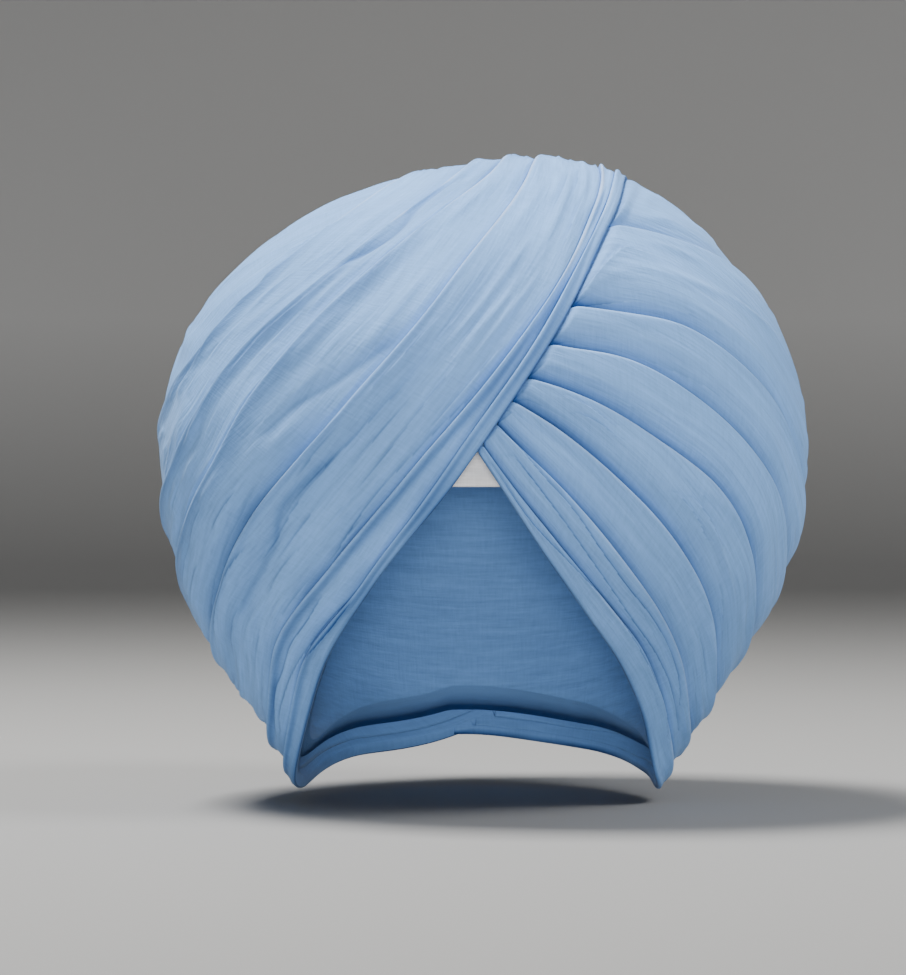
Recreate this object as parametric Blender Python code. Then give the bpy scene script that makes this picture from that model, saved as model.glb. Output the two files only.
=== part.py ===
# Tied turban: a wound head wrap of cotton cloth over a narrow white under band.
# Metres, +Z up, the wearer faces -Y. The origin is on the hat line, in the middle of the head.
# Two families of laps make the wrap. The left family nests round the upper left of the crown and
# its outermost edge runs from the left cheek over the forehead to the top right. The right family
# comes out from under that edge, fans round the right side and goes under it again at the back.
import math

import bmesh
import bpy
import numpy as np

# Overall sizes of the wound form that the laps lie on
HALF_WIDTH = 0.1245
FRONT_DEPTH = 0.1150
BACK_DEPTH = 0.1330
CROWN_RISE = 0.1120
WIDEST_HEIGHT = 0.0150
TIP_DROP = 0.1350
CROWN_SHIFT = 0.0150

# The hollow for the head
HEAD_HALF_WIDTH = 0.0755
HEAD_FRONT_DEPTH = 0.0970
HEAD_BACK_DEPTH = 0.0990
HEAD_RISE = 0.0880
HEAD_TAPER_LENGTH = 0.1180
RIM_WALL = 0.0060

# Laps
LAP_CREST = 0.0068
VALLEY_HEIGHT = 0.0022
TUCK_LENGTH = 0.0030
EDGE_ROUND = 0.0017
NARROW_TUCK = 0.4
EDGE_VALLEY_HEIGHT = 0.0036
EDGE_TUCK_LENGTH = 0.0015
DIVE_LENGTH = 0.0140
LAP_GAP = 0.0005
EDGE_GAP = 0.0018
BED_GAP = 0.0027
RIM_RECESS = 0.0060

# Under band
BAND_HEIGHT = 0.0450
BAND_THICKNESS = 0.0016
HEM_HEIGHT = 0.0060
HEM_EXTRA = 0.0008
BAND_GAP = 0.0024

# How finely the pieces are divided
RING_STATIONS = 32
TURN_STEP = 15.0
LEAST_STEP = 2.5
BED_STEP = 9.0
FIRST_TURN = -6.0
LAST_TURN = 196.0
TURN_SAMPLES = 2021
EDGE_SAMPLES = 400
END_INSET = 0.1
CLOSEST_TURNS = 0.5
WALL_ROWS = 10
WALL_TURNS = 36

# Bearings between which the left family's edge line is read: on its own side, from behind the
# nape to the forehead, and over the right side, from the forehead to behind the nape
OWN_SIDE_BEARINGS = (-56.0, 98.0)
FAR_SIDE_BEARINGS = (80.0, 324.0)
# The turn where the wall's rim starts to follow the lower of the two families' edges
NAPE_TURN = 170.0
# Turns up to a quarter turn each way count as the front
FRONT_HALF = 90.0
ZENITH = 90.0

# The form below its widest level: how far down, as a share of the tip drop, and the half width,
# front depth and back depth there, as shares of the named sizes. The first row mirrors the third,
# so that the sides stand upright at the widest level.
LOWER_FORM = (
    # down, width, front, back
    (-0.185, 0.988, 0.930, 1.000),
    (0.000, 1.000, 1.000, 1.000),
    (0.185, 0.988, 0.930, 1.000),
    (0.333, 0.944, 0.810, 0.970),
    (0.481, 0.875, 0.660, 0.917),
    (0.667, 0.755, 0.487, 0.827),
    (0.830, 0.650, 0.390, 0.760),
    (1.000, 0.554, 0.340, 0.700),
    (1.260, 0.400, 0.270, 0.590),
)

# The same for the hollow, below the hat line, as shares of the taper length.
LOWER_HEAD = (
    # down, width, front, back
    (-0.25, 1.00, 0.93, 0.98),
    (0.00, 1.00, 1.00, 1.00),
    (0.25, 1.00, 0.93, 0.98),
    (0.50, 0.97, 0.78, 0.93),
    (0.75, 0.92, 0.64, 0.88),
    (1.00, 0.86, 0.52, 0.84),
    (1.50, 0.70, 0.40, 0.74),
)

# Left family. Each row is a fold line: its angle in degrees from the family's axis, at bearings
# counted from the left cheek over the front (90) to the top right (180), and negative at the back.
LEFT_BEARINGS = (-150, -120, -90, -60, -30, 0, 30, 60, 90, 120, 150, 180)
LEFT_FOLDS = {
    # top rear, high back, back, nape, left rear, cheek, low front, mid front, forehead, diagonal,
    # high, top
    "edge": (94.0, 103.0, 113.0, 117.0, 93.0, 87.0, 79.0, 80.0, 85.5, 88.5, 88.0, 87.0),
    "first_crease": (91.7, 100.3, 109.8, 113.0, 90.0, 84.0, 75.0, 78.0, 82.8, 86.2, 86.0, 84.8),
    "bundle": (88.7, 96.5, 104.5, 107.0, 85.5, 79.0, 68.5, 71.0, 78.5, 84.0, 84.5, 82.0),
    "broad": (79.0, 86.0, 92.0, 93.0, 73.0, 62.0, 53.5, 54.0, 61.5, 68.0, 71.5, 72.0),
    "middle": (71.5, 76.0, 79.0, 77.0, 59.0, 48.0, 41.5, 41.0, 44.5, 53.5, 63.5, 67.0),
    "upper": (63.5, 65.5, 65.0, 59.5, 45.0, 35.5, 31.0, 31.0, 34.5, 46.0, 57.5, 61.0),
    "rear": (50.5, 48.0, 42.5, 34.0, 24.5, 18.5, 16.5, 18.0, 23.0, 31.5, 44.0, 50.0),
}
LEFT_AXIS_TILT = 61.5

# Right family. Each row is a fold line: its height angle in degrees at turns counted from the
# front (0) over the right side (90) to the back (180).
RIGHT_TURNS = (-10, 0, 15, 30, 45, 60, 75, 90, 120, 150, 180, 200)
RIGHT_FOLDS = {
    # hidden, front, then every 15 degrees to the side, rear quarter, rear, back, past the back
    "edge": (20.0, 5.0, -16.0, -31.5, -42.0, -50.5, -57.5, -59.5, -56.5, -50.5, -46.5, -47.5),
    "pleat": (23.0, 7.5, -10.5, -24.5, -35.0, -44.5, -52.0, -56.0, -54.5, -49.0, -45.0, -46.0),
    "fifth": (28.0, 14.0, -0.5, -14.5, -26.0, -36.5, -46.5, -51.0, -51.5, -47.0, -43.3, -44.0),
    "fourth": (27.0, 18.5, 9.0, -2.0, -14.0, -25.5, -38.0, -44.0, -47.0, -44.5, -41.0, -41.5),
    "third": (25.0, 21.5, 17.0, 10.0, 1.0, -11.0, -24.0, -33.0, -39.0, -39.5, -37.5, -38.0),
    "second": (28.0, 27.0, 25.0, 21.0, 13.5, 2.5, -10.0, -20.0, -29.0, -32.5, -33.0, -34.0),
    "first": (28.0, 30.0, 32.0, 30.5, 27.0, 17.5, 3.5, -7.0, -17.0, -23.0, -26.0, -28.0),
    "crown": (46.0, 48.0, 50.0, 50.0, 48.0, 44.0, 38.5, 32.0, 20.0, 8.0, -2.0, -8.0),
}

# Which folds bound each lap, and how high it stands as a share of the lap crest.
LEFT_LAPS = (
    # name, outer fold, inner fold, crest
    ("front_pleat_1", "edge", "first_crease", 1.08),
    ("front_pleat_2", "first_crease", "bundle", 1.02),
    ("left_lap_1", "bundle", "broad", 1.05),
    ("left_lap_2", "broad", "middle", 0.98),
    ("left_lap_3", "middle", "upper", 0.92),
    ("left_lap_4", "upper", "rear", 0.86),
)
RIGHT_LAPS = (
    # name, lower fold, upper fold, crest
    ("fan_pleat_1", "edge", "pleat", 0.72),
    ("fan_pleat_2", "pleat", "fifth", 0.84),
    ("right_lap_1", "fifth", "fourth", 0.92),
    ("right_lap_2", "fourth", "third", 0.98),
    ("right_lap_3", "third", "second", 1.00),
    ("right_lap_4", "second", "first", 1.00),
    ("right_lap_5", "first", "crown", 0.96),
)

# The upper side of a lap across its run: how far from its tail, as a share of its span, and how
# high, as a share of its crest.
LAP_RISE = ((0.18, 0.62), (0.42, 0.95), (0.72, 1.00))
NOSE_SHOULDER = 0.95
NOSE_FRONT = 0.66
EDGE_FRONT = 0.75
RIM_FOOT = 0.45
RIM_SHOULDER = 0.85
NARROWEST_ROUND = 0.25
# The same for the side of a lap that dives under the left family's edge: how far across, and how
# much of the way down it has gone.
COVERED_FALL = ((0.72, 0.50), (0.88, 0.70))
# The crown cap's rings, from its rim to its middle, and the rings of its underside.
CAP_RINGS = ((0.82, 0.70), (0.60, 0.95), (0.30, 1.00))
CAP_BED_RINGS = (0.78, 0.52, 0.26)
CAP_CREST = 0.82
CROWN_LAP_CREST = 0.90

CENTRE = np.array((0.0, 0.0, 0.0))
HALVINGS = 40
SHARP_ANGLE = 50.0
CLOTH_COLOUR = (0.36, 0.54, 0.76, 1.0)
BAND_COLOUR = (0.80, 0.78, 0.76, 1.0)


def clear_scene():
    for item in list(bpy.data.objects):
        bpy.data.objects.remove(item, do_unlink=True)


def cloth_material(name, colour, roughness):
    material = bpy.data.materials.new(name)
    material.use_nodes = True
    shader = material.node_tree.nodes["Principled BSDF"]
    shader.inputs["Base Color"].default_value = colour
    shader.inputs["Roughness"].default_value = roughness
    shader.inputs["Metallic"].default_value = 0.0
    return material


def smooth_row(at, stations, values):
    # A smooth curve through a row of a table, read at the given places.
    stations = np.asarray(stations, float)
    values = np.asarray(values, float)
    slopes = np.gradient(values, stations)
    at = np.clip(np.asarray(at, float), stations[0], stations[-1])
    index = np.clip(np.searchsorted(stations, at, side="right") - 1, 0, len(stations) - 2)
    span = stations[index + 1] - stations[index]
    part = (at - stations[index]) / span
    square = part * part
    cube = square * part
    start = (2 * cube - 3 * square + 1) * values[index]
    start_slope = (cube - 2 * square + part) * span * slopes[index]
    end = (3 * square - 2 * cube) * values[index + 1]
    end_slope = (cube - square) * span * slopes[index + 1]
    return start + start_slope + end + end_slope


def taper(heights, level, rise, table, length):
    # Shares of the half width, front depth and back depth at each height.
    above = np.sqrt(np.clip(1.0 - ((heights - level) / rise) ** 2, 0.0, 1.0))
    down = (level - heights) / length
    rows = np.array(table)
    shares = []
    for column in (1, 2, 3):
        below = smooth_row(down, rows[:, 0], rows[:, column])
        shares.append(np.where(heights > level, above, below))
    return shares


def inside_form(points):
    width, front, back = taper(points[..., 2], WIDEST_HEIGHT, CROWN_RISE, LOWER_FORM, TIP_DROP)
    rise = np.clip((points[..., 2] - WIDEST_HEIGHT) / CROWN_RISE, 0.0, 1.0)
    across = (points[..., 0] - CROWN_SHIFT * rise ** 4) / np.maximum(width * HALF_WIDTH, 1e-6)
    depth = np.where(points[..., 1] < 0, front * FRONT_DEPTH, back * BACK_DEPTH)
    along = points[..., 1] / np.maximum(depth, 1e-6)
    return (across ** 2 + along ** 2 < 1.0) & (rise < 1.0)


def inside_head(points):
    width, front, back = taper(points[..., 2], 0.0, HEAD_RISE, LOWER_HEAD, HEAD_TAPER_LENGTH)
    across = points[..., 0] / np.maximum(width * HEAD_HALF_WIDTH, 1e-6)
    depth = np.where(points[..., 1] < 0, front * HEAD_FRONT_DEPTH, back * HEAD_BACK_DEPTH)
    along = points[..., 1] / np.maximum(depth, 1e-6)
    return (across ** 2 + along ** 2 < 1.0) & (points[..., 2] < HEAD_RISE)


def reach(directions, inside):
    # Distance from the centre to the surface of a form, found by halving.
    near = np.zeros(directions.shape[:-1])
    far = np.full(directions.shape[:-1], 2.0 * (CROWN_RISE + TIP_DROP))
    for _ in range(HALVINGS):
        middle = (near + far) / 2
        hit = inside(CENTRE + directions * middle[..., None])
        near = np.where(hit, middle, near)
        far = np.where(hit, far, middle)
    return near


def place(directions, heights):
    # A point on the form, raised along its direction.
    radius = reach(directions, inside_form)
    return CENTRE + directions * (radius + heights)[..., None]


def as_angle(length):
    return math.degrees(length / HALF_WIDTH)


TILT = math.radians(LEFT_AXIS_TILT)
LEFT_AXIS = np.array((-math.sin(TILT), 0.0, math.cos(TILT)))
LEFT_LOW = np.array((-math.cos(TILT), 0.0, -math.sin(TILT)))
FRONT = np.array((0.0, -1.0, 0.0))


def left_direction(bearing, angle):
    turn = np.radians(bearing)[..., None]
    lean = np.radians(angle)[..., None]
    round_axis = np.cos(turn) * LEFT_LOW + np.sin(turn) * FRONT
    return np.cos(lean) * LEFT_AXIS + np.sin(lean) * round_axis


def right_direction(turn, height):
    turn = np.radians(turn)
    height = np.radians(height)
    flat = np.cos(height)
    return np.stack((flat * np.sin(turn), -flat * np.cos(turn), np.sin(height)), axis=-1)


def turn_and_height(directions):
    turn = np.degrees(np.arctan2(directions[..., 0], -directions[..., 1]))
    height = np.degrees(np.arcsin(np.clip(directions[..., 2], -1.0, 1.0)))
    return turn, height


def ring_bearings():
    return np.arange(RING_STATIONS) * 360.0 / RING_STATIONS


def left_fold(name, bearings):
    # A fold line of the left family, which closes on itself after a full turn.
    stations = np.array(LEFT_BEARINGS, float)
    values = np.array(LEFT_FOLDS[name])
    padded = np.concatenate((stations[-2:] - 360.0, stations, stations[:2] + 360.0))
    around = np.concatenate((values[-2:], values, values[:2]))
    turned = (np.asarray(bearings, float) + 180.0) % 360.0 - 180.0
    return smooth_row(turned, padded, around)


def edge_height_at(turns, left_side=False):
    # Height angle of the left family's edge line at each turn, over the right side to just past
    # the back, or on the left side, where turns are negative.
    ends = OWN_SIDE_BEARINGS if left_side else FAR_SIDE_BEARINGS
    bearings = np.linspace(ends[0], ends[1], EDGE_SAMPLES)
    line = left_direction(bearings, left_fold("edge", bearings))
    turn, height = turn_and_height(line)
    if left_side:
        turn = np.where(turn > FRONT_HALF, turn - 360.0, turn)
    else:
        turn = np.where(turn < -FRONT_HALF, turn + 360.0, turn)
    order = np.argsort(turn)
    return np.interp(turns, turn[order], height[order])


def right_fold(name, turns):
    return smooth_row(turns, RIGHT_TURNS, RIGHT_FOLDS[name])


def mesh_object(name, points, faces, material, collection):
    mesh = bpy.data.meshes.new(name)
    build = bmesh.new()
    corners = [build.verts.new(point) for point in points]
    for face in faces:
        build.faces.new([corners[index] for index in face])
    bmesh.ops.recalc_face_normals(build, faces=build.faces)
    build.to_mesh(mesh)
    build.free()
    mesh.shade_smooth()
    mesh.set_sharp_from_angle(angle=math.radians(SHARP_ANGLE))
    mesh.materials.append(material)
    item = bpy.data.objects.new(name, mesh)
    collection.objects.link(item)
    return item


def loft(name, sections, closed, material, collection):
    # Joins section after section, round a full ring or between two end faces.
    count, around = sections.shape[:2]
    points = sections.reshape(-1, 3).tolist()
    faces = []
    for station in range(count if closed else count - 1):
        here = station * around
        there = ((station + 1) % count) * around
        for side in range(around):
            other = (side + 1) % around
            faces.append((here + side, here + other, there + other, there + side))
    if not closed:
        faces.append(tuple(range(around)))
        last = (count - 1) * around
        faces.append(tuple(range(last, last + around)))
    return mesh_object(name, points, faces, material, collection)


def tuck_for(span):
    # How far a lap's nose is undercut: less on a narrow pleat.
    return np.minimum(as_angle(TUCK_LENGTH), NARROW_TUCK * np.abs(span))


def bed_points_for(spans):
    # Enough points under a lap for it to follow the form.
    return max(2, math.ceil(float(np.max(np.abs(spans))) / BED_STEP))


def lap_section(tail, nose, tail_tuck, crest, tail_kind, nose_kind, bed_points):
    # Outline of a lap across its run, as angles and heights. The tail slips under a neighbour and
    # the nose rolls over the next one. A covered side slips under the left family's edge.
    way = 1.0 if nose > tail else -1.0
    span = abs(nose - tail)
    cover = as_angle(EDGE_TUCK_LENGTH)
    rounding = min(as_angle(EDGE_ROUND), NARROWEST_ROUND * span)
    low = VALLEY_HEIGHT - LAP_GAP
    under = EDGE_VALLEY_HEIGHT - EDGE_GAP
    if nose_kind == "covered":
        crest = under + (crest - under) * min(1.0, span / as_angle(DIVE_LENGTH))
    if tail_kind == "tail":
        start = -tail_tuck * (1.0 - LAP_GAP / VALLEY_HEIGHT)
        top = [(start, 0.0), (0.0, low)]
    elif tail_kind == "over":
        start = min(cover, NARROW_TUCK * span)
        top = [(start, 0.0), (0.0, EDGE_VALLEY_HEIGHT), (0.0, EDGE_FRONT * crest)]
        top.append((rounding, NOSE_SHOULDER * crest))
    else:
        start = rounding / 2
        top = [(start, 0.0), (0.0, RIM_FOOT * crest), (rounding, RIM_SHOULDER * crest)]
    rises = [(share * span, rise * crest) for share, rise in LAP_RISE]
    top += rises[:2] if tail_kind == "tail" else rises[1:2]
    if nose_kind == "nose":
        top.append(rises[2])
        top.append((span - rounding, NOSE_SHOULDER * crest))
        top.append((span, NOSE_FRONT * crest))
        top.append((span, VALLEY_HEIGHT))
        finish = span - tuck_for(span)
    else:
        top += [(share * span, crest + fall * (under - crest)) for share, fall in COVERED_FALL]
        finish = span + cover * (1.0 - EDGE_GAP / EDGE_VALLEY_HEIGHT)
        top.append((span, under))
        top.append(((span + finish) / 2, under / 2))
    shares = np.linspace(1.0, 0.0, bed_points + 1)[:-1]
    bottom = [(start + share * (finish - start), 0.0) for share in shares]
    outline = top + bottom
    angles = np.array([tail + way * step for step, _ in outline])
    heights = np.array([height for _, height in outline])
    return angles, heights


def left_lap(name, outer, inner, crest_share, material, collection):
    bearings = ring_bearings()
    tails = left_fold(outer, bearings)
    noses = left_fold(inner, bearings)
    kind = "over" if outer == "edge" else "tail"
    names = list(LEFT_FOLDS)
    ahead = left_fold(names[max(names.index(outer) - 1, 0)], bearings)
    tucks = tuck_for(ahead - tails)
    bed = bed_points_for(tails - noses)
    crest = crest_share * LAP_CREST
    sections = []
    for bearing, tail, nose, tuck in zip(bearings, tails, noses, tucks):
        angles, heights = lap_section(tail, nose, tuck, crest, kind, "nose", bed)
        sections.append(place(left_direction(np.full(len(angles), bearing), angles), heights))
    return loft(name, np.array(sections), True, material, collection)


def left_crown_lap(material, collection):
    # The innermost lap is a round cap that closes the family, thick in the middle.
    bearings = ring_bearings()
    rims = left_fold("rear", bearings)
    low = VALLEY_HEIGHT - LAP_GAP
    crest = CAP_CREST * LAP_CREST
    tuck = tuck_for(left_fold("upper", bearings) - rims) * (1.0 - LAP_GAP / VALLEY_HEIGHT)
    rings = [(1.0, low)] + [(share, rise * crest) for share, rise in CAP_RINGS]
    points = [place(LEFT_AXIS[None, :], np.array((crest,)))[0].tolist()]
    for share, height in reversed(rings):
        directions = left_direction(bearings, rims * share)
        points += place(directions, np.full(RING_STATIONS, height)).tolist()
    points += place(left_direction(bearings, rims + tuck), np.zeros(RING_STATIONS)).tolist()
    for share in CAP_BED_RINGS:
        points += place(left_direction(bearings, rims * share), np.zeros(RING_STATIONS)).tolist()
    points.append(place(LEFT_AXIS[None, :], np.array((0.0,)))[0].tolist())
    last = len(points) - 1
    faces = []
    ring_count = len(rings) + 1 + len(CAP_BED_RINGS)
    for side in range(RING_STATIONS):
        other = (side + 1) % RING_STATIONS
        faces.append((0, 1 + side, 1 + other))
        for ring in range(ring_count - 1):
            here = 1 + ring * RING_STATIONS
            there = here + RING_STATIONS
            faces.append((here + side, there + side, there + other, here + other))
        inner = 1 + (ring_count - 1) * RING_STATIONS
        faces.append((last, inner + other, inner + side))
    return mesh_object("left_crown_lap", points, faces, material, collection)


def visible_span(name):
    # The turns between which a fold of the right family lies outside the left family's edge.
    turns = np.linspace(FIRST_TURN, LAST_TURN, TURN_SAMPLES)
    clear = right_fold(name, turns) < edge_height_at(turns) - as_angle(LAP_GAP)
    inside = turns[clear]
    return inside[0], inside[-1]


def right_turn_stations():
    # The turns of the edge line's own stations, the ends of each fold, and a plain grid between.
    bearings = ring_bearings()
    line = left_direction(bearings, left_fold("edge", bearings))
    marks = [turn % 360.0 for turn in turn_and_height(line)[0]]
    marks = [turn for turn in marks if 0.0 < turn < LAST_TURN]
    for name in RIGHT_FOLDS:
        marks += visible_span(name)
    for turn in np.arange(TURN_STEP, 180.0, TURN_STEP):
        if min(abs(turn - mark) for mark in marks) > LEAST_STEP:
            marks.append(turn)
    marks = sorted(marks)
    kept = [marks[0]]
    for mark in marks[1:]:
        if mark - kept[-1] > CLOSEST_TURNS:
            kept.append(mark)
    return np.array(kept)


def right_lap(name, lower, upper, crest_share, stations, material, collection):
    first, last = visible_span(lower)
    turns = stations[(stations > first + 2.0 * END_INSET) & (stations < last - 2.0 * END_INSET)]
    turns = np.concatenate(((first + END_INSET,), turns, (last - END_INSET,)))
    limits = edge_height_at(turns)
    lows = right_fold(lower, turns)
    highs = right_fold(upper, turns) if upper else np.full(len(turns), 180.0)
    tail_kind = "rim" if lower == "edge" else "tail"
    names = list(RIGHT_FOLDS)
    below = right_fold(names[max(names.index(lower) - 1, 0)], turns)
    tucks = tuck_for(lows - below)
    bed = bed_points_for(np.minimum(highs, limits) - lows)
    crest = crest_share * LAP_CREST
    sections = []
    for turn, low, high, limit, tuck in zip(turns, lows, highs, limits, tucks):
        covered = high > limit
        end = min(high, limit)
        kind = "covered" if covered else "nose"
        angles, heights = lap_section(low, end, tuck, crest, tail_kind, kind, bed)
        sections.append(place(right_direction(np.full(len(angles), turn), angles), heights))
    return loft(name, np.array(sections), False, material, collection)


def wall_edge(turns):
    # Height angle of the inner wrap's open rim, a little inside the laps' lowest edges.
    recess = as_angle(RIM_RECESS)
    past_back = np.where(turns < 0.0, turns + 360.0, turns)
    right = np.where(past_back < LAST_TURN, right_fold("edge", past_back), ZENITH)
    before_back = np.where(turns > FRONT_HALF, turns - 360.0, turns)
    left = edge_height_at(before_back, True)
    height = np.where((turns >= 0.0) & (turns < NAPE_TURN), right, np.minimum(left, right))
    crossing = RIGHT_FOLDS["edge"][1]
    return np.minimum(height + recess, crossing + recess)


def inner_wrap(material, collection):
    # A thick wound wall: the form outside and the head's hollow inside, joined at the rim.
    turns = -180.0 + (np.arange(WALL_TURNS) + 0.5) * 360.0 / WALL_TURNS
    rim = wall_edge(turns)
    shares = np.linspace(0.0, 1.0, WALL_ROWS + 1)[:-1]
    points = []
    for share in shares:
        directions = right_direction(turns, rim + (ZENITH - rim) * share)
        points += place(directions, np.full(WALL_TURNS, -BED_GAP)).tolist()
    for share in shares:
        directions = right_direction(turns, rim + (ZENITH - rim) * share)
        outer = reach(directions, inside_form) - BED_GAP
        radius = np.minimum(reach(directions, inside_head), outer - RIM_WALL)
        points += (CENTRE + directions * radius[:, None]).tolist()
    top = np.array((0.0, 0.0, 1.0))
    points.append(place(top[None, :], np.array((-BED_GAP,)))[0].tolist())
    points.append((CENTRE + top * HEAD_RISE).tolist())
    faces = []
    inner_start = WALL_ROWS * WALL_TURNS
    for side in range(WALL_TURNS):
        other = (side + 1) % WALL_TURNS
        for row in range(WALL_ROWS - 1):
            here = row * WALL_TURNS
            there = here + WALL_TURNS
            faces.append((here + side, here + other, there + other, there + side))
            inner_here = inner_start + here
            inner_there = inner_start + there
            faces.append((inner_here + side, inner_there + side, inner_there + other, inner_here + other))
        faces.append((side, inner_start + side, inner_start + other, other))
        crown = (WALL_ROWS - 1) * WALL_TURNS
        faces.append((crown + side, crown + other, 2 * inner_start))
        inner_crown = inner_start + crown
        faces.append((inner_crown + other, inner_crown + side, 2 * inner_start + 1))
    return mesh_object("inner_wrap", points, faces, material, collection)


def under_band(material, collection):
    # A plain strip round the head, with a thicker rolled hem along its lower edge.
    outline = (
        # height, how far in from the hollow's wall
        (0.0, BAND_GAP),
        (BAND_HEIGHT / 2, BAND_GAP),
        (BAND_HEIGHT, BAND_GAP),
        (BAND_HEIGHT, BAND_GAP + BAND_THICKNESS),
        (BAND_HEIGHT / 2, BAND_GAP + BAND_THICKNESS),
        (HEM_HEIGHT, BAND_GAP + BAND_THICKNESS),
        (0.6 * HEM_HEIGHT, BAND_GAP + BAND_THICKNESS + HEM_EXTRA),
        (0.0, BAND_GAP + BAND_THICKNESS + HEM_EXTRA),
    )
    turns = -180.0 + (np.arange(WALL_TURNS) + 0.5) * 360.0 / WALL_TURNS
    sections = []
    for turn in np.radians(turns):
        ring = []
        for height, inset in outline:
            share = math.sqrt(1.0 - (height / HEAD_RISE) ** 2)
            depth = HEAD_FRONT_DEPTH if math.cos(turn) > 0 else HEAD_BACK_DEPTH
            across = math.sin(turn) / (HEAD_HALF_WIDTH * share)
            along = math.cos(turn) / (depth * share)
            radius = 1.0 / math.hypot(across, along) - inset
            ring.append((radius * math.sin(turn), -radius * math.cos(turn), height))
        sections.append(ring)
    return loft("under_band", np.array(sections), True, material, collection)


def main():
    clear_scene()
    collection = bpy.data.collections.new("tied_turban")
    bpy.context.scene.collection.children.link(collection)
    under_band(cloth_material("under_band", BAND_COLOUR, 0.8), collection)
    inner_wrap(cloth_material("inner_wrap", CLOTH_COLOUR, 0.85), collection)
    for name, outer, inner, crest in LEFT_LAPS:
        left_lap(name, outer, inner, crest, cloth_material(name, CLOTH_COLOUR, 0.8), collection)
    left_crown_lap(cloth_material("left_crown_lap", CLOTH_COLOUR, 0.8), collection)
    stations = right_turn_stations()
    for name, lower, upper, crest in RIGHT_LAPS:
        material = cloth_material(name, CLOTH_COLOUR, 0.8)
        right_lap(name, lower, upper, crest, stations, material, collection)
    material = cloth_material("right_crown_lap", CLOTH_COLOUR, 0.8)
    right_lap("right_crown_lap", "crown", None, CROWN_LAP_CREST, stations, material, collection)


main()
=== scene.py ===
# Tied turban: a head wrap of pale blue cotton voile over a narrow white under band.
# Metres, +Z up, the wearer faces -Y. Laps follow two families of fold lines laid on a wound form.
# A surface point is a direction from the origin, times the form's reach plus a height.
import math

import bmesh
import bpy
import numpy as np
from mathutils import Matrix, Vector


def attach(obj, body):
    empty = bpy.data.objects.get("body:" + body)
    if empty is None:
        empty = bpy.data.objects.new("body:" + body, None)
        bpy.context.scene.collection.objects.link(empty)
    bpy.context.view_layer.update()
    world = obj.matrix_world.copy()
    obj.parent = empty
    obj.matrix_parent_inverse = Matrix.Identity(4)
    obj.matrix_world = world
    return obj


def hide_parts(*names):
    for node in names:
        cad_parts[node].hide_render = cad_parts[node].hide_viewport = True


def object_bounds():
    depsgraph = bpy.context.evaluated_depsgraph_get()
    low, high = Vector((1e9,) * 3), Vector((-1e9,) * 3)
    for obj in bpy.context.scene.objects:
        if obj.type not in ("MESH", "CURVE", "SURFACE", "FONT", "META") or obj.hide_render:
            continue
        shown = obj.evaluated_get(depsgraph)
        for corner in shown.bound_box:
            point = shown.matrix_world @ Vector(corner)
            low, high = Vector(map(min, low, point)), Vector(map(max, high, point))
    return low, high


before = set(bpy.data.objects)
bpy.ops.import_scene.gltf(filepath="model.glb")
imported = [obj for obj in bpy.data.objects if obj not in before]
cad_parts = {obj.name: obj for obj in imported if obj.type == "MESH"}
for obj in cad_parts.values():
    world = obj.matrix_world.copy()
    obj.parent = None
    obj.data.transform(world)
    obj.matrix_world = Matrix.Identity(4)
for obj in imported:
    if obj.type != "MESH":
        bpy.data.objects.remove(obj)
CAD_BOX = [list(corner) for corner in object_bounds()]

MM = 0.001

# The wound form, the head's hollow in it and the cloth's heights over it, as in the part's source
HALF_WIDTH = 0.1245
FRONT_DEPTH = 0.1150
BACK_DEPTH = 0.1330
CROWN_RISE = 0.1120
WIDEST_HEIGHT = 0.0150
TIP_DROP = 0.1350
CROWN_SHIFT = 0.0150
HEAD_HALF_WIDTH = 0.0755
HEAD_FRONT_DEPTH = 0.0970
HEAD_BACK_DEPTH = 0.0990
HEAD_RISE = 0.0880
HEAD_TAPER_LENGTH = 0.1180
RIM_WALL = 0.0060
BED_GAP = 0.0027
RIM_RECESS = 0.0060
LAP_CREST = 0.0068
VALLEY_HEIGHT = 0.0022
TUCK_LENGTH = 0.0030
LAP_GAP = 0.0005
EDGE_VALLEY_HEIGHT = 0.0036
BAND_HEIGHT = 0.0450
BAND_INSET = 0.0030
BAND_HALF_THICKNESS = 0.0004

# Shares of the drop, and of the half width and depths
LOWER_FORM = (
    # down, width, front, back
    (-0.185, 0.988, 0.93, 1.0),
    (0.0, 1.0, 1.0, 1.0),
    (0.185, 0.988, 0.93, 1.0),
    (0.333, 0.944, 0.81, 0.97),
    (0.481, 0.875, 0.66, 0.917),
    (0.667, 0.755, 0.487, 0.827),
    (0.83, 0.65, 0.39, 0.76),
    (1.0, 0.554, 0.34, 0.7),
    (1.26, 0.4, 0.27, 0.59),
)

LOWER_HEAD = (
    # down, width, front, back
    (-0.25, 1.0, 0.93, 0.98),
    (0.0, 1.0, 1.0, 1.0),
    (0.25, 1.0, 0.93, 0.98),
    (0.5, 0.97, 0.78, 0.93),
    (0.75, 0.92, 0.64, 0.88),
    (1.0, 0.86, 0.52, 0.84),
    (1.5, 0.7, 0.4, 0.74),
)

# level, rise above it, rows below it, drop, half width and depths, shift of the top to the side
FORM = (WIDEST_HEIGHT, CROWN_RISE, LOWER_FORM, TIP_DROP, (HALF_WIDTH, FRONT_DEPTH, BACK_DEPTH),
        CROWN_SHIFT)
HEAD = (0.0, HEAD_RISE, LOWER_HEAD, HEAD_TAPER_LENGTH,
        (HEAD_HALF_WIDTH, HEAD_FRONT_DEPTH, HEAD_BACK_DEPTH), 0.0)

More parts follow.
